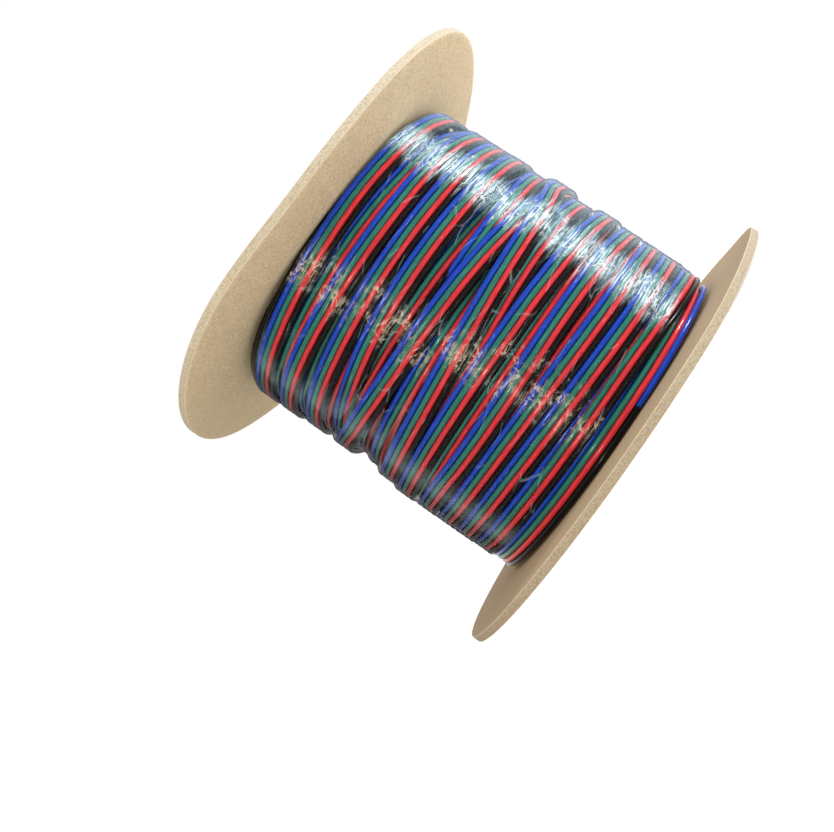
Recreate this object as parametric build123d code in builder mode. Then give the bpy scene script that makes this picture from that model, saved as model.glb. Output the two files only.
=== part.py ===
from build123d import *
import os
from math import cos, radians, sin

# A reel of ribbon hookup cable: two fibreboard discs glued on a cardboard tube, a flat cable of four bonded
# wires wound between them, and clear film stretched round the winding.
# The reel stands on one disc, with its axis along +Z and the origin at the middle of that disc's outer face.
# All sizes are in millimetres, and directions are degrees from +X.

# Discs
flange_radius = 75.0
lower_flange_radius = 73.2   # a little smaller, and glued off centre with its edge toward -X under the other's
flange_thickness = 2.4
hub_gap = 96.0               # between the discs' inner faces, at the tube

# Warp of the discs: each is a flat sheet bent one way only, cut round afterwards
sheet_overhang = 3.0         # how far the bent sheet reaches past the disc that is cut from it
lower_curl_direction = -20.0
lower_curl = 2.2             # lift of the lower disc's rim, past the winding on that side
upper_warp_direction = 12.5
# The upper disc's height above the hub at shares of its radius along that direction
upper_warp = [(-1.0, 5.7), (-0.78, 5.8), (-0.52, 4.4), (-0.30, 1.9), (-0.12, 0.35),
              (0.05, 0.0), (0.30, 0.55), (0.52, 2.0), (0.76, 4.0), (1.0, 6.9)]

# Tube that both discs are glued to, its ends flush with the outer faces at the hub
tube_radius = 22.5
tube_wall = 3.0
glue_gap = 0.1               # between the tube and each disc's hole

# Cable: four wires bonded side by side
wire_diameter = 1.65
wires_in_ribbon = 4

# Winding
winding_radius = 51.8        # outside, over the flattest turns
end_gap = 0.3                # between the winding and each disc
core_gap = 0.1               # between the winding and the tube
mean_free_width = 1.2        # between one turn of the top layer and the next, on average
# The top layer, turn by turn from the lower disc: free width under the turn, less than none where it lies over
# the edge of the last one, and its rise over winding_radius
top_layer = [(0.3, 0.1), (-1.0, 0.5), (-0.5, 0.8), (0.0, 0.9), (0.8, 1.0), (2.2, 1.4),
             (3.5, 1.6), (1.9, 0.8), (3.9, 0.6), (0.8, 0.5), (1.1, 0.8), (3.2, 0.8)]
free_width_on_top = 0.1      # over the last turn

# Film
film_thickness = 0.2
film_gap = 0.1
film_first_turn = 1          # the lowest turn is bare, the film covers the others
film_sag = 0.6               # how deep the film dips into a wide gap

# Values that follow
upper_inner_face = flange_thickness + hub_gap
tube_length = upper_inner_face + flange_thickness
hole_radius = tube_radius + glue_gap
lower_offset = flange_radius - lower_flange_radius
core_radius = tube_radius + core_gap
sheet_end = flange_radius + sheet_overhang
winding_bottom = flange_thickness + end_gap
winding_top = upper_inner_face - end_gap
winding_height = winding_top - winding_bottom
ribbon_width = wires_in_ribbon * wire_diameter
edge_chamfer = wire_diameter / 3
narrow_groove = 0.6 * wire_diameter
turns = int(winding_height / (ribbon_width + mean_free_width))
layer = [top_layer[turn % len(top_layer)] for turn in range(turns)]
crowns = [winding_radius + rise for _, rise in layer]

# The free widths share what the turns leave of the height
width_share = (winding_height - turns * ribbon_width) / (sum(gap for gap, _ in layer) + free_width_on_top)
gaps = [gap * width_share for gap, _ in layer]
turn_starts = [winding_bottom + sum(gaps[: turn + 1]) + turn * ribbon_width for turn in range(turns)]
turn_ends = [start + ribbon_width for start in turn_starts]


def upright_plane(direction):
    """Plane through the reel's axis, its x axis level along a direction and its y axis up."""
    angle = radians(direction)
    return Plane(origin=(0, 0, 0), x_dir=(cos(angle), sin(angle), 0), z_dir=(sin(angle), -cos(angle), 0))


def groove_points(turn):
    """Points between a turn and the one under it.

    A wide gap has a flat floor, the layer below, one wire deeper. A narrow one is a V between rounded edges.
    """
    level = min(crowns[turn - 1], crowns[turn])
    if is_wide(turn):
        return [(level - wire_diameter, turn_ends[turn - 1]), (level - wire_diameter, turn_starts[turn])]
    return [(level - narrow_groove, (turn_ends[turn - 1] + turn_starts[turn]) / 2)]


def is_wide(turn):
    """True where a turn stands clear of the one under it."""
    return gaps[turn] > wire_diameter


def winding_side():
    """Points of the winding's ridged side, upwards."""
    points = [(crowns[0] - narrow_groove, winding_bottom)]
    for turn in range(turns):
        if turn > 0:
            points += groove_points(turn)
        points.append((crowns[turn], turn_starts[turn] + edge_chamfer))
        points.append((crowns[turn], turn_ends[turn] - edge_chamfer))
    points.append((crowns[-1] - narrow_groove, winding_top))
    return points


def film_side(offset):
    """Points of the film's profile at a distance over the crowns, upwards.

    It is taut over each band of turns that lie close together, and dips into the wide gap to the next band.
    """
    bands = []
    for turn in range(film_first_turn, turns):
        if turn == film_first_turn or is_wide(turn):
            bands.append([])
        bands[-1].append(turn)
    points = []
    for band in bands:
        level = max(crowns[turn] for turn in band) + offset
        start = turn_starts[band[0]] + edge_chamfer
        if points:
            last_level, last_end = points[-1]
            points.append((min(level, last_level) - film_sag, (last_end + start) / 2))
        points.append((level, start))
        points.append((level, turn_ends[band[-1]] - edge_chamfer))
    return points


# Lower disc: flat under the winding, its rim curled up a little on one side
curl_side = [(winding_radius, 0), (flange_radius, lower_curl), (sheet_end, 1.3 * lower_curl)]
with BuildPart() as bottom_flange:
    with BuildSketch(upright_plane(lower_curl_direction)):
        with BuildLine():
            underside = Spline(*curl_side, tangents=[(1, 0), (6, 1)])
            topside = Spline(*[(x, z + flange_thickness) for x, z in curl_side], tangents=[(1, 0), (6, 1)])
            Line(underside @ 1, topside @ 1)
            Polyline(underside @ 0, (-sheet_end, 0), (-sheet_end, flange_thickness), topside @ 0)
        make_face()
    extrude(amount=sheet_end, both=True)
    with BuildSketch(Plane.XY):
        with Locations((-lower_offset, 0)):
            Circle(lower_flange_radius)
        Circle(hole_radius, mode=Mode.SUBTRACT)
    extrude(amount=flange_thickness + 2 * lower_curl, mode=Mode.INTERSECT)
bottom_flange.part.label = "bottom_flange"

# Upper disc: its warped sheet is level at the hub and curls away from the winding at both ends
warp_side = [(share * sheet_end, upper_inner_face + height) for share, height in upper_warp]
warp_reach = max(height for _, height in upper_warp) + 2 * flange_thickness
with BuildPart() as top_flange:
    with BuildSketch(upright_plane(upper_warp_direction)):
        with BuildLine():
            underside = Spline(*warp_side)
            topside = Spline(*[(x, z + flange_thickness) for x, z in warp_side])
            Line(underside @ 0, topside @ 0)
            Line(underside @ 1, topside @ 1)
        make_face()
    extrude(amount=sheet_end, both=True)
    with BuildSketch(Plane.XY.offset(upper_inner_face - flange_thickness)):
        Circle(flange_radius)
        Circle(hole_radius, mode=Mode.SUBTRACT)
    extrude(amount=flange_thickness + warp_reach, mode=Mode.INTERSECT)
top_flange.part.label = "top_flange"

# Cardboard tube through both discs
with BuildPart() as core_tube:
    with BuildSketch(Plane.XY):
        Circle(tube_radius)
        Circle(tube_radius - tube_wall, mode=Mode.SUBTRACT)
    extrude(amount=tube_length)
core_tube.part.label = "core_tube"

# Wound cable, all its turns one solid round the tube
with BuildPart() as cable_winding:
    with BuildSketch(Plane.XZ):
        with BuildLine():
            Polyline((core_radius, winding_bottom), *winding_side(), (core_radius, winding_top), close=True)
        make_face()
    revolve(axis=Axis.Z)
cable_winding.part.label = "cable_winding"

# Clear film, taut from crown to crown
with BuildPart() as film_wrap:
    with BuildSketch(Plane.XZ):
        with BuildLine():
            Polyline(*film_side(film_gap), *reversed(film_side(film_gap + film_thickness)), close=True)
        make_face()
    revolve(axis=Axis.Z)
film_wrap.part.label = "film_wrap"

os.makedirs("parts", exist_ok=True)
export_step(bottom_flange.part, "parts/bottom_flange.step")
export_step(top_flange.part, "parts/top_flange.step")
export_step(core_tube.part, "parts/core_tube.step")
export_step(cable_winding.part, "parts/cable_winding.step")
export_step(film_wrap.part, "parts/film_wrap.step")
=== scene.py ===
import math

import bpy
import numpy as np
from mathutils import Euler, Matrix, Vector, noise


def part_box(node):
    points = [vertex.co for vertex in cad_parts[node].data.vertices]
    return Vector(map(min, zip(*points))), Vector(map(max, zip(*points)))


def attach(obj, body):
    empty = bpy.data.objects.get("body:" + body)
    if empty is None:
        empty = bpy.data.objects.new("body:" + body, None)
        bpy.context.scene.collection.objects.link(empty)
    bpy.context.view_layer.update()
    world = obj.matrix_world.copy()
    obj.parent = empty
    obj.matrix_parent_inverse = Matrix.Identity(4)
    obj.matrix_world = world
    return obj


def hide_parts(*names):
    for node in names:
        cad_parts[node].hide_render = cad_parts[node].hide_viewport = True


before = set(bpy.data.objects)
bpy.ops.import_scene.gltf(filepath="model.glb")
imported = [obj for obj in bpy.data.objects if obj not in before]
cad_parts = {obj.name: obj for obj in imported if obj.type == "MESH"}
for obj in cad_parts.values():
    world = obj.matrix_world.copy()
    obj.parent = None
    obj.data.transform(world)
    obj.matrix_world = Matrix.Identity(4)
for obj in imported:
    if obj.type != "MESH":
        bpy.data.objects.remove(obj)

bl_info = {
    "name": "Reel of ribbon hookup cable",
    "version": (1, 0, 0),
    "blender": (4, 5, 0),
    "location": "View3D > Sidebar > Cable reel",
    "description": "Dresses the packed reel: warped fibreboard discs, wound four-wire cable and clear film",
    "category": "Object",
}

MM = 0.001

# Sizes and places below are in mm. Angles are in degrees from the winding's front, the side toward the
# camera, and grow toward +X.

# Discs: their rings are shares of the way from the hole to the rim
DISC_SIDES = 240
DISC_RINGS = (0.08, 0.16, 0.25, 0.34, 0.43, 0.52, 0.60, 0.68, 0.76, 0.84, 0.92, 0.97, 1.0)
HOLE_GAP = 0.12                # between the tube and a disc's hole
RIM_INSET = 0.05               # keeps a flat sheet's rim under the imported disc, onto which it is raised
SHEET_DROP = 5.0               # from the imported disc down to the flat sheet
# Across these heights the upper disc is painted lighter as light and the lower one darker as shade
BETWEEN_DISCS = (30.0, 70.0)   # heights where the lower disc's colours give way to the upper one's

# Cable
WIRES = ("blue", "green", "red", "black")   # downwards in the flat cable
RED = WIRES.index("red")
MIDDLE_WIRE = (len(WIRES) - 1) / 2
# Inside these radii the lower layer's wires are painted darker as shade
TOP_LAYER_START = (49.8, 51.0)              # radii where the dim lower layer gives way to the top one

# Angles of the heights in the next tables
STATIONS = (-75, -50, -25, 0, 25, 50, 75)

# Top layer: height of the red wire at the stations, turn by turn from the upper disc
TURN_HEIGHTS = (
    (94.2, 93.7, 93.3, 93.3, 93.6, 93.5, 93.2),
    (85.5, 84.8, 83.8, 83.0, 82.8, 83.3, 82.8),
    (75.8, 75.9, 75.8, 75.9, 76.0, 76.2, 76.0),
    (65.8, 67.3, 68.6, 69.2, 69.3, 69.2, 69.2),
    (65.5, 62.4, 59.8, 58.2, 56.9, 54.8, 52.2),
    (48.1, 47.4, 47.3, 48.3, 50.0, 51.8, 54.3),
    (41.6, 40.8, 40.4, 40.0, 39.6, 38.8, 37.6),
    (33.6, 32.6, 31.1, 30.8, 31.0, 30.6, 29.5),
    (26.6, 25.5, 24.6, 23.7, 22.8, 22.3, 21.9),
    (19.7, 19.1, 18.3, 17.3, 16.3, 15.7, 15.4),
    (13.2, 12.3, 11.7, 11.3, 10.9, 9.6, 8.8),
    (6.5, 5.9, 5.5, 5.4, 5.5, 5.8, 6.3),
)
LAST_TURN = 360 * (len(TURN_HEIGHTS) - 1)
CABLE_START = (-150, 95.3)     # angle before the first turn, and height there
CABLE_END = (150, 6.6)         # angle after the last turn, and height there

# Where the top layer dips under a turn that crosses it: turn, angle, depth, and how much deeper its blue edge
# lies than its middle
DIPS = (
    (0, -150, 1.65, 0.0), (0, -100, 0.0, 0.0),
    (2, 120, 0.0, 0.0), (2, 210, 1.65, 0.0), (3, -40, 1.5, 0.0), (3, -7, 0.0, 0.0),
    (4, 7, 0.0, 0.0), (4, 30, 1.0, 0.0), (4, 49, 1.65, 0.0), (4, 265, 1.65, 0.0), (5, -54, 0.2, 0.0),
    (5, -25, 0.0, 0.0),
    (10, -30, 0.0, 0.0), (10, 5, 0.5, 0.8), (10, 30, 0.6, 0.9), (10, 49, 0.0, 0.0),
    (10, 240, 0.0, 0.0), (11, -20, 0.3, 0.2), (11, 5, 0.4, 0.4), (11, 30, 0.7, 0.9), (11, 59, 1.1, 0.7),
    (11, 82, 1.65, 0.0), (11, 150, 1.65, 0.0),
)

# How much deeper the lowest turn's black wire lies, at angles, to let the loose blue one over it
BLACK_DIP = ((-10, 0.0), (20, 1.5), (75, 1.7), (110, 0.0))

# Layer below: height of the red wire at the stations, ring by ring
RING_HEIGHTS = (
    (89.4, 89.2, 88.6, 88.1, 87.7, 87.2, 86.1),
    (79.7, 79.8, 79.6, 79.7, 80.0, 80.2, 79.9),
    (72.7, 72.7, 72.5, 72.4, 72.3, 72.2, 71.6),
    (65.7, 65.4, 65.0, 64.6, 64.2, 63.6, 63.0),
    (58.8, 58.8, 58.9, 59.0, 59.4, 60.4, 61.1),
    (53.0, 53.1, 53.0, 53.1, 53.3, 53.8, 54.1),
    (44.0, 44.0, 44.0, 44.4, 46.0, 46.8, 46.4),
    (36.7, 36.4, 36.1, 35.8, 35.8, 36.1, 36.1),
    (29.2, 29.0, 28.7, 28.1, 27.6, 26.9, 26.6),
    (21.4, 21.1, 20.8, 20.5, 20.4, 20.3, 20.3),
    (14.3, 14.0, 13.7, 13.6, 13.5, 13.3, 13.2),
)
RING_DEPTH = 1.7

# How much deeper a ring lies still, at angles
RING_DIPS = {
    3: ((5, 0.0), (44, 1.5), (110, 1.5), (180, 0.0)),
    4: ((-90, 0.6), (5, 0.6), (25, 0.0), (49, 0.0), (77, -0.6), (110, -0.6), (180, 0.0)),
    5: ((-5, 0.0), (25, 1.6), (100, 1.6), (180, 0.0)),
}
NO_DIP = ((0, 0.0), (180, 0.0))

# Outside radius of the wires at heights up the winding, on the side toward +X and on the side toward -X
LEVELS = (
    (5, 51.7, 52.1), (12, 52.2, 52.2), (17, 52.4, 52.5), (29, 52.4, 52.6), (35, 53.0, 52.7), (41, 53.3, 52.8),
    (47, 53.7, 53.2), (53, 53.8, 52.2), (59, 53.3, 51.6), (65, 53.0, 51.8), (77, 52.7, 51.8), (83, 52.7, 52.3),
    (89, 52.5, 52.5), (95, 52.4, 52.5),
)
LEVEL_HEIGHTS, PLUS_RADII, MINUS_RADII = zip(*LEVELS)

# Single wires of deeper turns that show beside the discs: wire, then angle, height and depth along it
LOOSE_WIRES = (
    ("black", ((-150, 97.6, 2.0), (-110, 98.6, 0.9), (-75, 98.9, 0.6), (-50, 98.8, 0.6), (-25, 98.5, 0.7),
               (0, 98.0, 1.0), (30, 97.4, 2.2))),
    ("black", ((-140, 98.2, 4.0), (-105, 100.3, 2.2), (-75, 100.6, 1.8), (-50, 100.4, 1.8), (-30, 99.8, 2.2),
               (-5, 98.4, 4.0))),
    ("black", ((15, 97.4, 3.0), (50, 98.0, 1.2), (90, 98.6, 0.8), (130, 98.2, 1.2), (165, 97.4, 3.0))),
    ("blue", ((-10, 3.6, 4.5), (0, 3.6, 2.6), (15, 3.8, 1.0), (30, 4.0, 0.2), (45, 4.3, 0.0), (62, 4.5, 0.0),
              (80, 4.4, 0.8), (110, 4.0, 3.0))),
)

# Inner layers, under the two that are laid wire by wire
INNER_SIDES = 120
CORE_GAP = 0.1                 # between the innermost wires and the tube
PLACES_A_WIRE = 4              # steps over one wire's round

# Film
FILM_COLUMNS = 216
FILM_ROWS = 180
FILM_TOP = 97.9
FILM_BOTTOM = 9.6              # at most, on the lowest turn
EDGE_OVER_RED = 2.2            # pitches from a red wire's middle up to the film's edge on the blue one
EDGE_UNDER_RED = 1.5           # pitches from a red wire's middle down to the black one's underside
FILM_LIFT = 0.06               # from the wires' crowns to the film
UNHELD_RADIUS = 48.0           # of the film where no wire holds it
CRINKLE_SIZE = 3.1
FINE_CRINKLE_SIZE = 1.4
FINE_CRINKLE_SHARE = 0.5
DEEPEST_CRINKLE = -0.4         # as a share of the crinkles' height
FLAT_RADIUS = 52.6             # of the winding, where its surface is laid flat for a pattern

# Stage
FLOOR_WIDTH = 6000
LAMP_LENGTH = 250
LAMP_HEIGHT = 130              # of a lamp's middle over the floor
WHITE = (1.0, 1.0, 1.0)


def colour(name, default, description):
    """Colour property, linear."""
    return bpy.props.FloatVectorProperty(name=name, description=description, default=default, min=0.0, max=1.0,
                                         size=3, subtype="COLOR")


def length(name, default_mm, description):
    """Length property, given in millimetres and kept in metres."""
    return bpy.props.FloatProperty(name=name, description=description, default=default_mm * MM, min=0.0,
                                   unit="LENGTH")


def power(name, default, description):
    """Property for a lamp's power, in watts."""
    return bpy.props.FloatProperty(name=name, description=description, default=default, min=0.0, unit="POWER")


class ReelDiscSettings(bpy.types.PropertyGroup):
    thickness: length("Board thickness", 2.4, "Thickness of the discs' board")
    rim_rounding: length("Rim rounding", 0.25, "Radius of the discs' edges")
    tube_rounding: length("Tube rounding", 0.2, "Radius of the tube's edges")
    # Lit and shaded copies of one face colour: the upper disc's painted lighter as light, the lower disc's
    # darker as shade
    lit_kraft: colour("Kraft face", (0.95, 0.79, 0.52), "Colour of the upper disc's paper faces")
    shaded_kraft: colour("Browner face", (0.58, 0.46, 0.31), "Colour of the lower disc's paper faces")
    kraft_dark: colour("Kraft fibres", (0.60, 0.43, 0.235), "Colour of the darker fibres in the faces")
    specks: colour("Face specks", (0.20, 0.14, 0.09), "Colour of the specks in the faces")
    core_light: colour("Board core", (0.60, 0.52, 0.40), "Colour of the grey board that shows at the rims")
    core_dark: colour("Core specks", (0.27, 0.19, 0.11), "Colour of the specks in the board")
    liner: colour("Liner edge", (0.72, 0.62, 0.46), "Colour of the paper's cut edge at the rims")


class ReelWireSettings(bpy.types.PropertyGroup):
    diameter: length("Wire diameter", 1.65, "Outside diameter of one wire")
    pitch: length("Wire pitch", 1.67, "Distance between neighbouring wires of the cable")
    step: bpy.props.IntProperty(name="Degrees a step", description="Angle between a wire's cross-sections",
                                default=3, min=1, max=10)
    blue: colour("Blue wire", (0.004, 0.050, 0.46), "Insulation of the blue wire")
    green: colour("Green wire", (0.022, 0.18, 0.135), "Insulation of the green wire")
    red: colour("Red wire", (0.68, 0.030, 0.042), "Insulation of the red wire")
    black: colour("Black wire", (0.006, 0.005, 0.005), "Insulation of the black wire")


class ReelFilmSettings(bpy.types.PropertyGroup):
    thickness: length("Film thickness", 0.06, "Thickness of all the film's layers together")
    slack: bpy.props.FloatProperty(name="Slack", default=0.35, min=0.01, max=1.0,
                                   description="How fast the film falls away from a crown, per mm")
    crinkle: length("Crinkle", 0.09, "Height of the film's crinkles")
    # Colours of the painted highlights in the two bands where the lamps reflect
    key_glint_tint: colour("Cool haze", (0.50, 0.80, 0.92), "Crinkled film in the band toward +X")
    key_glint_line: colour("Cool creases", (0.95, 1.0, 1.0), "Crease lines in the band toward +X")
    front_glint_tint: colour("Warm haze", (1.0, 0.72, 0.48), "Crinkled film in the front band")
    front_glint_line: colour("Warm creases", (1.0, 0.92, 0.78), "Crease lines in the front band")
    # Edge colours: painted light toward +X, painted shade toward -X
    lit_edge: colour("Pale edge", (0.20, 0.21, 0.30), "Film that turns away toward +X")
    shaded_edge: colour("Dark edge", (0.012, 0.010, 0.010), "Film that turns away toward -X")


class ReelStageSettings(bpy.types.PropertyGroup):
    camera_place: bpy.props.FloatVectorProperty(
        name="Camera place", description="Where the camera stands", default=(0.01624, -0.27352, 0.02382),
        subtype="TRANSLATION")
    camera_turn: bpy.props.FloatVectorProperty(
        name="Camera turn", description="Rotation of the camera",
        default=(math.radians(103.80), math.radians(54.73), math.radians(18.17)), subtype="EULER")
    camera_lens: bpy.props.FloatProperty(name="Lens", description="Focal length", default=37.71,
                                         subtype="DISTANCE_CAMERA")
    camera_shift: bpy.props.FloatVectorProperty(
        name="Camera shift", default=(-0.0059, -0.0629), size=2,
        description="How far the cut-out picture's middle lies from the lens's, in widths")
    sky: colour("Sky", (0.90, 0.92, 0.92), "Soft light from the side toward +X")
    shade: colour("Shade", (0.34, 0.27, 0.20), "Soft light from the side toward -X")
    key: power("Key light", 3.0, "Power of the lamp toward +X")
    key_tint: colour("Key tint", (0.94, 0.98, 1.0), "Colour of the lamp toward +X")
    front: power("Front light", 2.4, "Power of the narrow lamp in front")
    front_tint: colour("Front tint", (1.0, 0.93, 0.80), "Colour of the narrow lamp in front")


def around(angle, radius, height):
    """Point at an angle round the reel, a radius and a height, all in mm, as metres."""
    turn = math.radians(angle)
    return Vector((radius * math.sin(turn), -radius * math.cos(turn), height)) * MM


def key_before(keys, at):
    """Index of the key that a place lies after, or of the nearest one that has a key after it."""
    places = [key[0] for key in keys]
    return int(np.clip(np.searchsorted(places, at) - 1, 0, len(keys) - 2))


def smooth_run(keys, at):
    """Value at a place on a line that eases from each key to the next."""
    index = key_before(keys, at)
    (start, low), (end, high) = keys[index], keys[index + 1]
    share = min(max((at - start) / (end - start), 0.0), 1.0)
    return low + (high - low) * share * share * (3 - 2 * share)


def curve_run(keys, at):
    """Value at a place on a smooth curve through the keys."""
    index = key_before(keys, at)

    def slope(i):
        if i == 0 or i == len(keys) - 1:
            return 0.0
        return (keys[i + 1][1] - keys[i - 1][1]) / (keys[i + 1][0] - keys[i - 1][0])

    (start, low), (end, high) = keys[index], keys[index + 1]
    width = end - start
    s = (at - start) / width
    return ((2 * s**3 - 3 * s**2 + 1) * low + (s**3 - 2 * s**2 + s) * width * slope(index)
            + (3 * s**2 - 2 * s**3) * high + (s**3 - s**2) * width * slope(index + 1))


def level(angle, height):
    """Outside radius of the wires of the top layer, in mm."""
    plus = np.interp(height, LEVEL_HEIGHTS, PLUS_RADII)
    minus = np.interp(height, LEVEL_HEIGHTS, MINUS_RADII)
    return (plus + minus) / 2 + (plus - minus) / 2 * math.sin(math.radians(angle))


class Ribbon:
    """One stretch of the flat cable: its red wire's heights, and its depths and leans under the top layer."""

    def __init__(self, heights, depths, leans, start, end, closed):
        self.heights = heights
        self.depths = depths
        self.leans = leans
        self.start = start
        self.end = end
        self.closed = closed

    def wire(self, index, angle, pitch, diameter):
        """Radius and height of a wire's middle at an angle, in mm."""
        red = curve_run(self.heights, angle)
        middle = red + (RED - MIDDLE_WIRE) * pitch
        lean = smooth_run(self.leans, angle) * (1 - index / MIDDLE_WIRE)
        depth = smooth_run(self.depths, angle) + lean
        if WIRES[index] == "black" and not self.closed:
            depth += smooth_run(BLACK_DIP, angle - LAST_TURN)
        radius = level(angle, middle) - depth - diameter / 2
        return radius, red + (RED - index) * pitch


def three_turns(keys):
    """Keys of a ring, repeated a turn before and after so that it closes."""
    return [(360 * turn + angle, value) for turn in (-1, 0, 1) for angle, value in keys]


def wound_ribbons():
    """The cable's top layer as one ribbon, then the rings of the layer below it."""
    heights = [CABLE_START]
    for turn, row in enumerate(TURN_HEIGHTS):
        heights += [(360 * turn + angle, height) for angle, height in zip(STATIONS, row)]
    heights.append((LAST_TURN + CABLE_END[0], CABLE_END[1]))
    depths = [(360 * turn + angle, depth) for turn, angle, depth, _ in DIPS]
    leans = [(360 * turn + angle, lean) for turn, angle, _, lean in DIPS]
    ribbons = [Ribbon(heights, depths, leans, start=heights[0][0], end=heights[-1][0], closed=False)]
    for index, row in enumerate(RING_HEIGHTS):
        heights = three_turns(list(zip(STATIONS, row)))
        depths = [(angle, RING_DEPTH + dip) for angle, dip in three_turns(RING_DIPS.get(index, NO_DIP))]
        ribbons.append(Ribbon(heights, depths, NO_DIP, start=-180, end=180, closed=True))
    return ribbons


class Nodes:
    """Short calls for building the nodes of a material or a world."""

    def __init__(self, owner):
        owner.use_nodes = True
        self.tree = owner.node_tree

    def add(self, kind, **values):
        node = self.tree.nodes.new(kind)
        for key, value in values.items():
            setattr(node, key, value)
        return node

    def join(self, source, target):
        self.tree.links.new(source, target)

    def put(self, socket, value):
        """Links a socket to an output, or sets it to a plain value."""
        if isinstance(value, bpy.types.NodeSocket):
            self.join(value, socket)
        else:
            socket.default_value = value

    def math(self, operation, *values, clamp=False):
        node = self.add("ShaderNodeMath", operation=operation, use_clamp=clamp)
        for socket, value in zip(node.inputs, values):
            self.put(socket, value)
        return node.outputs[0]

    def plus(self, first, second):
        return self.math("ADD", first, second)

    def minus(self, first, second):
        return self.math("SUBTRACT", first, second)

    def times(self, first, second):
        return self.math("MULTIPLY", first, second)

    def over(self, first, second):
        return self.math("DIVIDE", first, second)

    def most(self, first, second):
        return self.math("MAXIMUM", first, second)

    def off(self, value, middle):
        """Distance of a value from a middle one."""
        return self.math("ABSOLUTE", self.minus(value, middle))

    def span(self, value, low, high, to_low=0.0, to_high=1.0, kind="SMOOTHSTEP"):
        """Value mapped from one range to another, and kept inside it."""
        node = self.add("ShaderNodeMapRange", interpolation_type=kind)
        self.join(value, node.inputs["Value"])
        for name, number in (("From Min", low), ("From Max", high), ("To Min", to_low), ("To Max", to_high)):
            node.inputs[name].default_value = number
        return node.outputs[0]

    def near(self, value, middle, full, none):
        """1 within a reach of a middle value, falling to 0 further off."""
        return self.span(self.off(value, middle), full, none, 1.0, 0.0)

    def mix(self, factor, first, second):
        """Two colours mixed."""
        node = self.add("ShaderNodeMix", data_type="RGBA")
        self.put(node.inputs["Factor"], factor)
        for socket, value in ((node.inputs[6], first), (node.inputs[7], second)):
            self.put(socket, value if isinstance(value, bpy.types.NodeSocket) else (*value, 1.0))
        return node.outputs[2]

    def seen_white(self):
        """1 for rays from the camera, a mirror or glass, which show the background white."""
        path = self.add("ShaderNodeLightPath")
        seen = path.outputs["Is Camera Ray"]
        for name in ("Is Glossy Ray", "Is Transmission Ray"):
            seen = self.math("ADD", seen, path.outputs[name], clamp=True)
        return seen


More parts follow.
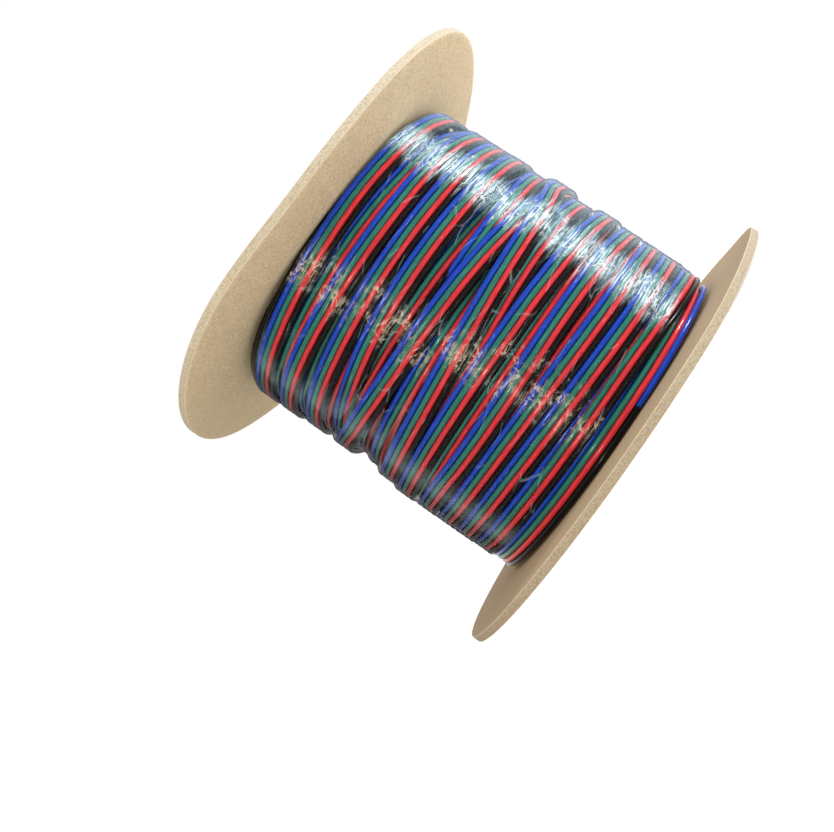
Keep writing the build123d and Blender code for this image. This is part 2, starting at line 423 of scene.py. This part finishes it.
class Finish(Nodes):
    """A new material, with calls for patterns on the reel."""

    def __init__(self, name):
        self.material = bpy.data.materials.new(name)
        super().__init__(self.material)
        self.shader = self.tree.nodes["Principled BSDF"]
        self.output = self.tree.nodes["Material Output"]

    def surface(self, tint, rough, normal, specular=0.5):
        """Sets what the main shader shows."""
        self.put(self.shader.inputs["Base Color"], tint)
        self.put(self.shader.inputs["Roughness"], rough)
        self.put(self.shader.inputs["Normal"], normal)
        self.shader.inputs["Specular IOR Level"].default_value = specular

    def blend(self, factor, first, second):
        """Two shaders mixed."""
        node = self.add("ShaderNodeMixShader")
        for source, socket in zip((factor, first, second), node.inputs):
            self.join(source, socket)
        return node.outputs[0]

    def bump(self, height, strength, distance):
        """Normal that a height from 0 to 1 gives, its distance in mm."""
        node = self.add("ShaderNodeBump")
        node.inputs["Strength"].default_value = strength
        node.inputs["Distance"].default_value = distance * MM
        self.join(height, node.inputs["Height"])
        return node.outputs[0]

    def attribute(self, name):
        return self.add("ShaderNodeAttribute", attribute_name=name).outputs["Fac"]

    def place(self, scale=(1, 1, 1)):
        """Object coordinates in mm, stretched by a scale."""
        mapping = self.add("ShaderNodeMapping")
        mapping.inputs["Scale"].default_value = [share / MM for share in scale]
        self.join(self.add("ShaderNodeTexCoord").outputs["Object"], mapping.inputs["Vector"])
        return mapping.outputs[0]

    def axes(self):
        """Object coordinates in mm, one by one."""
        node = self.add("ShaderNodeSeparateXYZ")
        self.join(self.place(), node.inputs[0])
        return node.outputs

    def height(self):
        """Height over the floor in mm."""
        return self.axes()[2]

    def radius(self):
        """Distance from the reel's axis in mm."""
        x, y, _ = self.axes()
        return self.math("SQRT", self.plus(self.times(x, x), self.times(y, y)))

    def angle(self):
        """Angle round the reel in degrees, as everywhere in this file."""
        x, y, _ = self.axes()
        return self.math("DEGREES", self.math("ARCTAN2", x, self.times(y, -1)))

    def laid_flat(self, along=1.0):
        """The winding's surface laid flat in mm: x round the reel, stretched by a share, and y up it."""
        flat = self.add("ShaderNodeCombineXYZ")
        self.join(self.times(self.angle(), math.radians(1) * FLAT_RADIUS * along), flat.inputs[0])
        self.join(self.height(), flat.inputs[1])
        return flat.outputs[0]

    def turned(self, place, degrees, stretch):
        """A flat place turned by an angle, then drawn out along its x by a factor."""
        mapping = self.add("ShaderNodeMapping")
        mapping.inputs["Rotation"].default_value = (0, 0, math.radians(degrees))
        mapping.inputs["Scale"].default_value = (1 / stretch, 1, 1)
        self.join(place, mapping.inputs["Vector"])
        return mapping.outputs[0]

    def bent(self, place, size, reach):
        """A place moved about by noise, so that straight patterns wander."""
        swirl = self.add("ShaderNodeTexNoise")
        swirl.inputs["Scale"].default_value = 1 / size
        self.join(place, swirl.inputs["Vector"])
        shift = self.add("ShaderNodeVectorMath", operation="MULTIPLY_ADD")
        self.join(swirl.outputs["Color"], shift.inputs[0])
        shift.inputs[1].default_value = (2 * reach, 2 * reach, 0)
        self.join(place, shift.inputs[2])
        return shift.outputs[0]

    def noise(self, place, size, detail, rough=0.5):
        """Noise with features of about a size in mm, from 0 to 1."""
        node = self.add("ShaderNodeTexNoise")
        node.inputs["Scale"].default_value = 1 / size
        node.inputs["Detail"].default_value = detail
        node.inputs["Roughness"].default_value = rough
        self.join(place, node.inputs["Vector"])
        return node.outputs[0]

    def swing(self, waves, width):
        """Noise as a value to either side of 0, over a width."""
        return self.times(self.minus(waves, 0.5), width)

    def hairlines(self, place, size, width):
        """Net of fine lines round cells of about a size in mm, 1 on a line."""
        cells = self.add("ShaderNodeTexVoronoi", feature="DISTANCE_TO_EDGE", voronoi_dimensions="2D")
        cells.inputs["Scale"].default_value = 1 / size
        self.join(place, cells.inputs["Vector"])
        return self.span(cells.outputs["Distance"], 0.2 * width / size, width / size, 1.0, 0.0)


def fibreboard_material():
    """Kraft-faced grey board.

    The faces are mottled; the upper disc's are painted lighter as light, and the lower disc's darker and
    browner as shade. The rims show the core between two paper edges, the lower disc's core painted darker as
    shade.
    """
    settings = bpy.context.scene.reel_discs
    n = Finish("fibreboard")
    place, height = n.place(), n.height()
    fibres = n.noise(place, 0.75, 4.0, 0.7)
    mottle = n.noise(place, 6.0, 3.0, 0.55)
    specks = n.noise(place, 0.7, 2.0, 0.5)
    # Painted light and shade: the lower disc's faces take the darker colour, the upper disc's the lighter one
    face = n.mix(n.span(height, *BETWEEN_DISCS), settings.shaded_kraft, settings.lit_kraft)
    face = n.mix(n.span(fibres, 0.40, 0.62, 0.0, 0.52), face, settings.kraft_dark)
    face = n.mix(n.span(mottle, 0.38, 0.70, 0.0, 0.15), face, settings.kraft_dark)
    face = n.mix(n.span(specks, 0.63, 0.72, 0.0, 0.45), face, settings.specks)

    grain = n.noise(place, 0.55, 3.0, 0.7)
    core = n.mix(n.span(grain, 0.40, 0.66, 0.0, 0.55), settings.core_light, settings.core_dark)
    # Painted shade: the lower disc's core is darker
    core = n.mix(n.span(height, *BETWEEN_DISCS, 0.35, 0.0), core, settings.core_dark)
    paper_edge = n.span(n.off(n.attribute("through"), 0.5), 0.42, 0.47)
    rim = n.mix(paper_edge, core, settings.liner)
    on_rim = n.span(n.attribute("inset"), 0.10, 0.25, 1.0, 0.0)
    n.surface(n.mix(on_rim, face, rim), n.span(fibres, 0.2, 0.8, 0.75, 0.92),
              n.bump(n.plus(fibres, grain), 0.20, 0.12), specular=0.2)
    return n.material


def tube_material():
    """Spiral-wound cardboard with the seam of its plies."""
    settings = bpy.context.scene.reel_discs
    ply_width, seam_share = 48.0, 0.008
    n = Finish("tube_board")
    fibres = n.noise(n.place((1.0, 1.0, 0.3)), 1.1, 4.0, 0.6)
    tone = n.mix(n.span(fibres, 0.3, 0.75), settings.core_light, settings.kraft_dark)
    x, y, z = n.axes()
    turns = n.over(n.math("ARCTAN2", y, x), 2 * math.pi)
    spiral = n.math("FRACT", n.plus(turns, n.over(z, ply_width)))
    seam = n.math("LESS_THAN", n.off(spiral, 0.5), seam_share)
    tone = n.mix(n.times(seam, 0.55), tone, settings.core_dark)
    n.surface(tone, 0.85, n.bump(n.minus(fibres, seam), 0.3, 0.15))
    return n.material


def wire_material(name, tint):
    """Satin insulation with faint lengthwise marks, the lower layer painted darker as shade."""
    n = Finish("insulation_" + name)
    marks = n.noise(n.place((0.12, 0.12, 1.0)), 0.5, 3.0, 0.6)
    marked = [channel * 0.72 for channel in tint]
    dim = [channel * 0.45 for channel in tint]
    tone = n.mix(n.span(marks, 0.3, 0.7), tint, marked)
    # Painted shade: the lower layer's wires take the darker copy of their colour
    tone = n.mix(n.span(n.radius(), *TOP_LAYER_START), dim, tone)
    n.surface(tone, n.span(marks, 0.25, 0.75, 0.12, 0.22), n.bump(marks, 0.12, 0.08),
              specular=0.10 if name == "black" else 0.25)
    return n.material


def inner_material(pitch):
    """Deeper layers of the cable: the four insulation colours in stripes, in the winding's shadow."""
    wires = bpy.context.scene.reel_wires
    n = Finish("inner_layers")
    share = n.math("FRACT", n.over(n.height(), len(WIRES) * pitch))
    tone = wires.black
    for start, tint in ((0.25, wires.red), (0.50, wires.green), (0.75, wires.blue)):
        tone = n.mix(n.math("GREATER_THAN", share, start), tone, tint)
    # Painted shade: patchy noise pulls the stripes toward black, and also gives the bumps
    shade_and_bumps = n.noise(n.place((0.2, 0.2, 1.0)), 1.2, 3.0, 0.6)
    tone = n.mix(n.span(shade_and_bumps, 0.3, 0.8, 0.35, 0.75), tone, wires.black)
    n.surface(tone, 0.4, n.bump(shade_and_bumps, 0.15, 0.1), specular=0.2)
    return n.material


def film_material():
    """Clear stretch film, hardly seen from the front, with crease lines and scratches.

    Along two bands up the winding, where the lamps reflect, painted highlights show as crinkles, crease lines
    and streaks, the band toward +X cooler and the front one creamier, and the film's reflectivity is raised
    there.
    Where it turns away it is painted paler toward +X as light and darker toward -X as shade.
    """
    settings = bpy.context.scene.reel_film
    n = Finish("clear_film")
    n.tree.nodes.remove(n.shader)
    angle, height, flat = n.angle(), n.height(), n.laid_flat()

    # Bands where the lamps reflect, for the painted highlights, with ragged sides that wander
    wander = n.swing(n.noise(n.laid_flat(0.0), 9.0, 1.0), 12.0)
    ragged = n.swing(n.noise(n.laid_flat(0.03), 1.1, 1.0), 18.0)
    place = n.plus(angle, n.plus(wander, ragged))
    front_middle = n.span(height, 32.0, 58.0, 1.0, -7.0)
    key_glint = n.near(place, 46.0, full=2.0, none=11.0)
    front = n.near(place, front_middle, full=1.5, none=9.0)

    # Marks: the bands' painted highlights in crease lines, streaks and threads, and scratches all over
    fine = 0.14
    patches = n.span(n.noise(flat, 7.0, 2.0, 0.5), 0.42, 0.58)
    glint_streaks = n.span(n.noise(n.laid_flat(0.06), 0.42, 2.0, 0.6), 0.42, 0.60)
    glint_threads = n.span(n.noise(n.laid_flat(0.06), 0.40, 2.0, 0.6), 0.54, 0.64)
    curved = n.bent(flat, 7.0, 2.5)
    lines = n.hairlines(curved, 2.2, 0.17)
    lines = n.most(lines, n.hairlines(n.turned(curved, 25, 4.0), 1.6, fine))
    lines = n.most(lines, n.hairlines(n.turned(curved, -55, 4.0), 2.0, fine))
    lines = n.times(lines, n.span(n.noise(flat, 1.8, 2.0, 0.6), 0.42, 0.56))
    scratches = n.hairlines(n.turned(n.bent(flat, 14.0, 3.0), -70, 5.0), 5.0, fine)
    scratches = n.times(scratches, n.span(n.noise(flat, 9.0, 2.0, 0.6), 0.50, 0.58))
    # Painted highlights: marks in the band toward +X and in the front band
    key_glint_marks = n.plus(n.most(n.times(lines, patches), n.times(glint_streaks, 0.75)), 0.10)
    front_glint_marks = n.times(n.most(n.times(lines, 0.60), n.times(glint_threads, 0.45)), patches)
    bands = n.plus(n.times(key_glint, key_glint_marks), n.times(front, front_glint_marks))

    # Haze of the film where it turns away, painted paler toward +X as light and darker toward -X as shade,
    # with the bands' painted highlights and the scratches added
    toward_lit_side = (10.0, 62.0)
    weight = n.add("ShaderNodeLayerWeight")
    weight.inputs["Blend"].default_value = 0.5
    away = weight.outputs["Facing"]
    # Painted sheen: a pale veil where the film turns away toward +X
    lit_sheen = n.times(n.span(away, 0.30, 0.90, 0.0, 0.09), n.span(angle, *toward_lit_side, 0.20, 1.0))
    # Painted shade: a dark veil where the film turns away toward -X
    shaded_side = n.times(n.span(away, 0.35, 0.85, 0.0, 0.30), n.span(angle, -45.0, -10.0, 1.0, 0.0))
    edge = n.most(n.span(away, 0.82, 0.93, 0.0, 0.55), shaded_side)
    haze = n.plus(n.times(bands, 0.48), n.plus(lit_sheen, edge))
    haze = n.math("ADD", haze, n.times(scratches, 0.09), clamp=True)

    milk = n.add("ShaderNodeBsdfDiffuse")
    # Painted highlight colours: cool in the band toward +X, warm in the front band
    key_glint_colour = n.mix(lines, settings.key_glint_tint, settings.key_glint_line)
    front_tint = n.mix(lines, settings.front_glint_tint, settings.front_glint_line)
    # Edge painted pale toward +X as light and dark toward -X as shade
    edge_light_and_shade = n.mix(n.span(angle, *toward_lit_side), settings.shaded_edge, settings.lit_edge)
    tint = n.mix(n.span(edge, 0.0, 0.2), n.mix(front, key_glint_colour, front_tint), edge_light_and_shade)
    n.join(tint, milk.inputs["Color"])
    mirror = n.add("ShaderNodeBsdfGlossy")
    mirror.inputs["Roughness"].default_value = 0.22
    n.join(n.bump(n.plus(lines, n.times(glint_streaks, 0.5)), 0.35, 0.10), mirror.inputs["Normal"])
    # Reflectivity raised in the bands where the lamps reflect: a real reflection, painted stronger there
    glint_gloss = n.times(n.plus(key_glint, n.times(front, 0.1)), n.span(glint_streaks, 0.0, 1.0, 0.003, 0.030))
    clear = n.add("ShaderNodeBsdfTransparent")
    hazy = n.blend(haze, clear.outputs[0], milk.outputs[0])
    n.join(n.blend(n.plus(glint_gloss, 0.001), hazy, mirror.outputs[0]), n.output.inputs["Surface"])
    return n.material


def floor_material():
    """Matt white that the camera and mirrors see as white, with the object's shadow kept."""
    grey, glow_strength = 0.88, 0.62
    n = Finish("studio_floor")
    n.tree.nodes.remove(n.shader)
    matt = n.add("ShaderNodeBsdfDiffuse")
    matt.inputs["Color"].default_value = (grey, grey, grey, 1.0)
    glow = n.add("ShaderNodeEmission")
    n.join(n.times(n.seen_white(), glow_strength), glow.inputs["Strength"])
    both = n.add("ShaderNodeAddShader")
    n.join(matt.outputs[0], both.inputs[0])
    n.join(glow.outputs[0], both.inputs[1])
    n.join(both.outputs[0], n.output.inputs["Surface"])
    return n.material


def clear_selection():
    """Nothing is selected or active."""
    if bpy.context.object and bpy.context.object.mode != "OBJECT":
        bpy.ops.object.mode_set(mode="OBJECT")
    bpy.ops.object.select_all(action="DESELECT")


def select_only(piece):
    """Only this piece is selected and active."""
    clear_selection()
    piece.select_set(True)
    bpy.context.view_layer.objects.active = piece


def open_mesh(piece):
    """The piece is open for editing, with all of it selected."""
    select_only(piece)
    bpy.ops.object.mode_set(mode="EDIT")
    bpy.ops.mesh.select_all(action="SELECT")


def close_mesh(outward=False):
    """Editing ends, with all faces turned outward first if asked."""
    if outward:
        bpy.ops.mesh.select_all(action="SELECT")
        bpy.ops.mesh.normals_make_consistent(inside=False)
    bpy.ops.object.mode_set(mode="OBJECT")


def apply_modifier(piece, kind, **values):
    """Adds a modifier and applies it."""
    select_only(piece)
    modifier = piece.modifiers.new(kind.title(), kind)
    for key, value in values.items():
        setattr(modifier, key, value)
    bpy.ops.object.modifier_apply(modifier=modifier.name)


def round_edges(piece, radius):
    """Rounds a piece's sharp edges."""
    apply_modifier(piece, "BEVEL", width=radius, segments=2, limit_method="ANGLE",
                   angle_limit=math.radians(60))


def mesh_piece(name, points, edges=(), faces=()):
    """New object with a mesh of points, edges and faces."""
    mesh = bpy.data.meshes.new(name)
    mesh.from_pydata(points, edges, faces)
    piece = bpy.data.objects.new(name, mesh)
    bpy.context.collection.objects.link(piece)
    return piece


def settle(piece, material, node, smooth_angle):
    """Shades a finished piece, gives it its material and hangs it on the frame."""
    select_only(piece)
    bpy.ops.object.transform_apply(location=True, rotation=True, scale=True)
    bpy.ops.object.shade_smooth_by_angle(angle=math.radians(smooth_angle))
    piece.data.materials.clear()
    piece.data.materials.append(material)
    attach(piece, "root")
    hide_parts(node)


def packed_tube_radius():
    """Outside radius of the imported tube, in metres."""
    low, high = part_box("core_tube")
    return (high[0] - low[0]) / 2


class REEL_OT_discs(bpy.types.Operator):
    """Fibreboard discs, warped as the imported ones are"""

    bl_idname = "reel.discs"
    bl_label = "Discs"

    def execute(self, context):
        settings = context.scene.reel_discs
        material = fibreboard_material()
        for node in ("bottom_flange", "top_flange"):
            low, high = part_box(node)
            middle = (low[0] + high[0]) / 2
            reach = (high[0] - low[0]) / 2 - RIM_INSET * MM
            piece = self.flat_sheet(node + "_board", middle, reach, low[2] - SHEET_DROP * MM)
            apply_modifier(piece, "SHRINKWRAP", target=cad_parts[node], wrap_method="PROJECT",
                           use_project_x=False, use_project_y=False, use_project_z=True,
                           use_positive_direction=True, use_negative_direction=False)
            open_mesh(piece)
            bpy.ops.mesh.extrude_region_move(TRANSFORM_OT_translate={"value": (0, 0, settings.thickness)})
            close_mesh(outward=True)
            self.mark_rim(piece, middle, reach)
            round_edges(piece, settings.rim_rounding)
            settle(piece, material, node, 40)
        return {"FINISHED"}

    def flat_sheet(self, name, middle, reach, height):
        """Flat sheet in rings, from the hole round the axis to the rim round its own middle, in metres."""
        hole = packed_tube_radius() + HOLE_GAP * MM
        clear_selection()
        bpy.ops.mesh.primitive_circle_add(vertices=DISC_SIDES, radius=hole, fill_type="NOTHING",
                                          location=(0, 0, height))
        piece = bpy.context.object
        piece.name = name
        bpy.ops.object.transform_apply(location=True)
        open_mesh(piece)
        inner, inner_middle = hole, 0.0
        for share in DISC_RINGS:
            outer = hole + (reach - hole) * share
            outer_middle = middle * share
            bpy.ops.mesh.extrude_edges_move()
            bpy.ops.transform.resize(value=(outer / inner, outer / inner, 1),
                                     center_override=(inner_middle, 0, height))
            bpy.ops.transform.translate(value=(outer_middle - inner_middle, 0, 0))
            inner, inner_middle = outer, outer_middle
        close_mesh()
        return piece

    def mark_rim(self, piece, middle, reach):
        """Gives each point its share of the way through the board, and its distance in from the rim in mm."""
        through = piece.data.attributes.new("through", "FLOAT", "POINT")
        inset = piece.data.attributes.new("inset", "FLOAT", "POINT")
        half = len(piece.data.vertices) // 2
        for index, vertex in enumerate(piece.data.vertices):
            through.data[index].value = 0.0 if index < half else 1.0
            inset.data[index].value = (reach - math.hypot(vertex.co.x - middle, vertex.co.y)) / MM


class REEL_OT_tube(bpy.types.Operator):
    """Cardboard tube that the discs are glued to"""

    bl_idname = "reel.tube"
    bl_label = "Tube"

    def execute(self, context):
        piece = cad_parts["core_tube"].copy()
        piece.data = piece.data.copy()
        piece.name = "tube_board"
        context.collection.objects.link(piece)
        select_only(piece)
        bpy.ops.mesh.customdata_custom_splitnormals_clear()
        open_mesh(piece)
        bpy.ops.mesh.remove_doubles(threshold=0.001 * MM)
        bpy.ops.mesh.tris_convert_to_quads()
        close_mesh()
        round_edges(piece, context.scene.reel_discs.tube_rounding)
        settle(piece, tube_material(), "core_tube", 40)
        return {"FINISHED"}


class REEL_OT_wires(bpy.types.Operator):
    """Four insulated wires, wound side by side"""

    bl_idname = "reel.wires"
    bl_label = "Wires"

    def execute(self, context):
        settings = context.scene.reel_wires
        ribbons = wound_ribbons()
        for index, name in enumerate(WIRES):
            curve = bpy.data.curves.new("wire_" + name, "CURVE")
            curve.dimensions = "3D"
            curve.bevel_depth = settings.diameter / 2
            curve.bevel_resolution = 3
            curve.use_fill_caps = True
            for ribbon in ribbons:
                self.add_run(curve, self.ribbon_wire(ribbon, index, settings), ribbon.closed)
            for wire, keys in LOOSE_WIRES:
                if wire == name:
                    self.add_run(curve, self.loose_wire(keys, settings), False)
            piece = bpy.data.objects.new("wire_" + name, curve)
            context.collection.objects.link(piece)
            select_only(piece)
            bpy.ops.object.convert(target="MESH")
            piece = context.object
            material = wire_material(name, getattr(settings, name))
            settle(piece, material, "cable_winding", 70)
        return {"FINISHED"}

    def ribbon_wire(self, ribbon, index, settings):
        """Points along one wire of a ribbon."""
        pitch, diameter = settings.pitch / MM, settings.diameter / MM
        count = round((ribbon.end - ribbon.start) / settings.step) + (not ribbon.closed)
        points = []
        for step in range(count):
            angle = ribbon.start + step * settings.step
            points.append(around(angle, *ribbon.wire(index, angle, pitch, diameter)))
        return points

    def loose_wire(self, keys, settings):
        """Points along one wire through its keys of angle, height and depth."""
        heights = [(angle, height) for angle, height, _ in keys]
        depths = [(angle, depth) for angle, _, depth in keys]
        start, end = keys[0][0], keys[-1][0]
        count = round((end - start) / settings.step)
        points = []
        for step in range(count + 1):
            angle = start + (end - start) * step / count
            height = curve_run(heights, angle)
            radius = level(angle, height) - curve_run(depths, angle) - settings.diameter / MM / 2
            points.append(around(angle, radius, height))
        return points

    def add_run(self, curve, points, closed):
        """Adds a run of wire through points to a curve."""
        run = curve.splines.new("POLY")
        run.points.add(len(points) - 1)
        for target, point in zip(run.points, points):
            target.co = (*point, 1.0)
        run.use_cyclic_u = closed


class REEL_OT_inner_layers(bpy.types.Operator):
    """Layers of cable under the two that are modelled wire by wire"""

    bl_idname = "reel.inner_layers"
    bl_label = "Inner layers"

    def execute(self, context):
        settings = context.scene.reel_wires
        pitch, bulge = settings.pitch / MM, settings.diameter / MM / 2
        low, high = (corner[2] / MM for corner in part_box("cable_winding"))
        inside = packed_tube_radius() / MM + CORE_GAP
        outside = min(*PLUS_RADII, *MINUS_RADII) - 2 * RING_DEPTH
        across = round((outside - inside) / pitch)
        upward = round((high - low) / pitch)
        profile = []
        for radius, out in self.scallops(inside, outside - bulge, across):
            profile.append((radius, low + bulge * (1 - out)))
        for height, out in self.scallops(low + bulge, high - bulge, upward):
            profile.append((outside - bulge * (1 - out), height))
        for radius, out in self.scallops(outside - bulge, inside, across):
            profile.append((radius, high - bulge * (1 - out)))
        profile.append(profile[0])
        points = [(radius * MM, 0, height * MM) for radius, height in profile]
        piece = mesh_piece("inner_layers", points, edges=[(i, i + 1) for i in range(len(points) - 1)])
        open_mesh(piece)
        bpy.ops.mesh.spin(steps=INNER_SIDES, angle=2 * math.pi, center=(0, 0, 0), axis=(0, 0, 1))
        bpy.ops.mesh.select_all(action="SELECT")
        bpy.ops.mesh.remove_doubles(threshold=0.005 * MM)
        close_mesh(outward=True)
        settle(piece, inner_material(pitch), "cable_winding", 60)
        return {"FINISHED"}

    def scallops(self, start, end, count):
        """Places along a row of wires, and how far each stands out, from 0 to 1."""
        for step in range(count * PLACES_A_WIRE + 1):
            share = step / (count * PLACES_A_WIRE)
            yield start + (end - start) * share, abs(math.sin(math.pi * count * share))


class REEL_OT_film(bpy.types.Operator):
    """Clear film stretched over the crowns of the winding"""

    bl_idname = "reel.film"
    bl_label = "Film"

    def execute(self, context):
        settings = context.scene.reel_film
        wires = context.scene.reel_wires
        pitch, diameter = wires.pitch / MM, wires.diameter / MM
        ribbons = wound_ribbons()
        angles = [-180 + 360 * column / FILM_COLUMNS for column in range(FILM_COLUMNS)]
        heights = np.zeros((FILM_COLUMNS, FILM_ROWS))
        radii = np.zeros((FILM_COLUMNS, FILM_ROWS))
        for column, angle in enumerate(angles):
            row = np.linspace(self.lower_edge(ribbons[0], angle, pitch), FILM_TOP, FILM_ROWS)
            crowns = self.crowns(ribbons, angle, row, pitch, diameter)
            fall = settings.slack * (row[:, None] - row[None, :]) ** 2
            heights[column] = row
            radii[column] = (crowns[None, :] - fall).max(axis=1)
        radii = (np.roll(radii, 1, axis=0) + radii + np.roll(radii, -1, axis=0)) / 3

        points = []
        for angle, radii_up, heights_up in zip(angles, radii, heights):
            for radius, height in zip(radii_up, heights_up):
                spot = around(angle, radius, height) / MM
                crinkle = noise.noise(spot / CRINKLE_SIZE)
                crinkle += FINE_CRINKLE_SHARE * noise.noise(spot / FINE_CRINKLE_SIZE)
                lift = FILM_LIFT + settings.crinkle / MM * max(crinkle, DEEPEST_CRINKLE)
                points.append(around(angle, radius + lift, height))
        faces = []
        for column in range(FILM_COLUMNS):
            first, second = column * FILM_ROWS, (column + 1) % FILM_COLUMNS * FILM_ROWS
            for row in range(FILM_ROWS - 1):
                faces.append((first + row, second + row, second + row + 1, first + row + 1))
        piece = mesh_piece("film", points, faces=faces)
        apply_modifier(piece, "SOLIDIFY", thickness=settings.thickness, offset=1.0)
        settle(piece, film_material(), "film_wrap", 60)
        return {"FINISHED"}

    def lower_edge(self, cable, angle, pitch):
        """Height of the film's lower edge, in mm.

        It is the underside of the turn above the lowest, or a place on the lowest turn where that is higher.
        """
        lowest = curve_run(cable.heights, min(LAST_TURN + angle, cable.end)) + EDGE_OVER_RED * pitch
        above = curve_run(cable.heights, LAST_TURN - 360 + angle) - EDGE_UNDER_RED * pitch
        return max(min(lowest, FILM_BOTTOM), above)

    def crowns(self, ribbons, angle, heights, pitch, diameter):
        """Outside radius of the wires at heights up the winding, in mm."""
        crowns = np.full(len(heights), UNHELD_RADIUS)
        for ribbon in ribbons:
            for turn in range(-1, len(TURN_HEIGHTS) + 1):
                at = angle + 360 * turn
                if not ribbon.start <= at < ribbon.end:
                    continue
                for index in range(len(WIRES)):
                    radius, height = ribbon.wire(index, at, pitch, diameter)
                    offset = (heights - height) / (diameter / 2)
                    crown = radius + diameter / 2 * np.sqrt(np.clip(1 - offset**2, 0, 1))
                    crowns = np.where(np.abs(offset) < 1, np.maximum(crowns, crown), crowns)
        return crowns


class REEL_OT_stage(bpy.types.Operator):
    """Camera, white floor and backdrop, and lamps"""

    bl_idname = "reel.stage"
    bl_label = "Stage"

    def execute(self, context):
        settings = context.scene.reel_stage
        context.scene.view_settings.view_transform = "Standard"
        self.add_camera(settings)
        clear_selection()
        bpy.ops.mesh.primitive_plane_add(size=FLOOR_WIDTH * MM, location=(0, 0, 0))
        floor = context.object
        floor.name = "floor"
        floor.data.materials.append(floor_material())
        self.add_lamp("key_light", settings.key, settings.key_tint, width=80, angle=90, distance=620)
        self.add_lamp("front_light", settings.front, settings.front_tint, width=40, angle=-11, distance=750)
        self.add_world(settings)
        return {"FINISHED"}

    def add_camera(self, settings):
        """Camera at the photograph's viewing angle."""
        data = bpy.data.cameras.new("camera")
        data.lens = settings.camera_lens
        data.sensor_width = 36.0
        data.shift_x, data.shift_y = settings.camera_shift
        data.clip_start = 0.01
        camera = bpy.data.objects.new("camera", data)
        camera.location = settings.camera_place
        camera.rotation_euler = settings.camera_turn
        bpy.context.scene.collection.objects.link(camera)
        bpy.context.scene.camera = camera

    def add_lamp(self, name, watts, tint, width, angle, distance):
        """Upright rectangular lamp at an angle round the reel, facing its axis."""
        data = bpy.data.lights.new(name, "AREA")
        data.shape = "RECTANGLE"
        data.size, data.size_y = width * MM, LAMP_LENGTH * MM
        data.energy = watts
        data.color = tint
        lamp = bpy.data.objects.new(name, data)
        lamp.location = around(angle, distance, LAMP_HEIGHT)
        lamp.rotation_euler = Euler((math.radians(90), 0, math.radians(angle)))
        bpy.context.scene.collection.objects.link(lamp)

    def add_world(self, settings):
        """Soft light, stronger and cooler from the side toward +X, and white behind all that is seen."""
        world = bpy.data.worlds.new("studio")
        bpy.context.scene.world = world
        n = Nodes(world)
        axes = n.add("ShaderNodeSeparateXYZ")
        n.join(n.add("ShaderNodeTexCoord").outputs["Generated"], axes.inputs[0])
        toward_sky = n.span(axes.outputs["X"], -0.8, 0.3, kind="LINEAR")
        soft = n.mix(toward_sky, settings.shade, settings.sky)
        n.join(n.mix(n.seen_white(), soft, WHITE), n.tree.nodes["Background"].inputs["Color"])


PIECES = (REEL_OT_stage, REEL_OT_discs, REEL_OT_tube, REEL_OT_inner_layers, REEL_OT_wires, REEL_OT_film)


class REEL_PT_panel(bpy.types.Panel):
    """Steps that dress the reel"""

    bl_idname = "REEL_PT_panel"
    bl_label = "Cable reel"
    bl_space_type = "VIEW_3D"
    bl_region_type = "UI"
    bl_category = "Cable reel"

    def draw(self, context):
        for piece in PIECES:
            self.layout.operator(piece.bl_idname)


SETTINGS = {
    "reel_discs": ReelDiscSettings,
    "reel_wires": ReelWireSettings,
    "reel_film": ReelFilmSettings,
    "reel_stage": ReelStageSettings,
}


def register():
    for group in SETTINGS.values():
        bpy.utils.register_class(group)
    for piece in (*PIECES, REEL_PT_panel):
        bpy.utils.register_class(piece)
    for name, group in SETTINGS.items():
        setattr(bpy.types.Scene, name, bpy.props.PointerProperty(type=group))


def unregister():
    for name in SETTINGS:
        delattr(bpy.types.Scene, name)
    for piece in (REEL_PT_panel, *reversed(PIECES)):
        bpy.utils.unregister_class(piece)
    for group in SETTINGS.values():
        bpy.utils.unregister_class(group)


def main():
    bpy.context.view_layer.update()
    register()
    bpy.ops.reel.stage()
    bpy.ops.reel.discs()
    bpy.ops.reel.tube()
    bpy.ops.reel.inner_layers()
    bpy.ops.reel.wires()
    bpy.ops.reel.film()


if __name__ == "__main__":
    main()
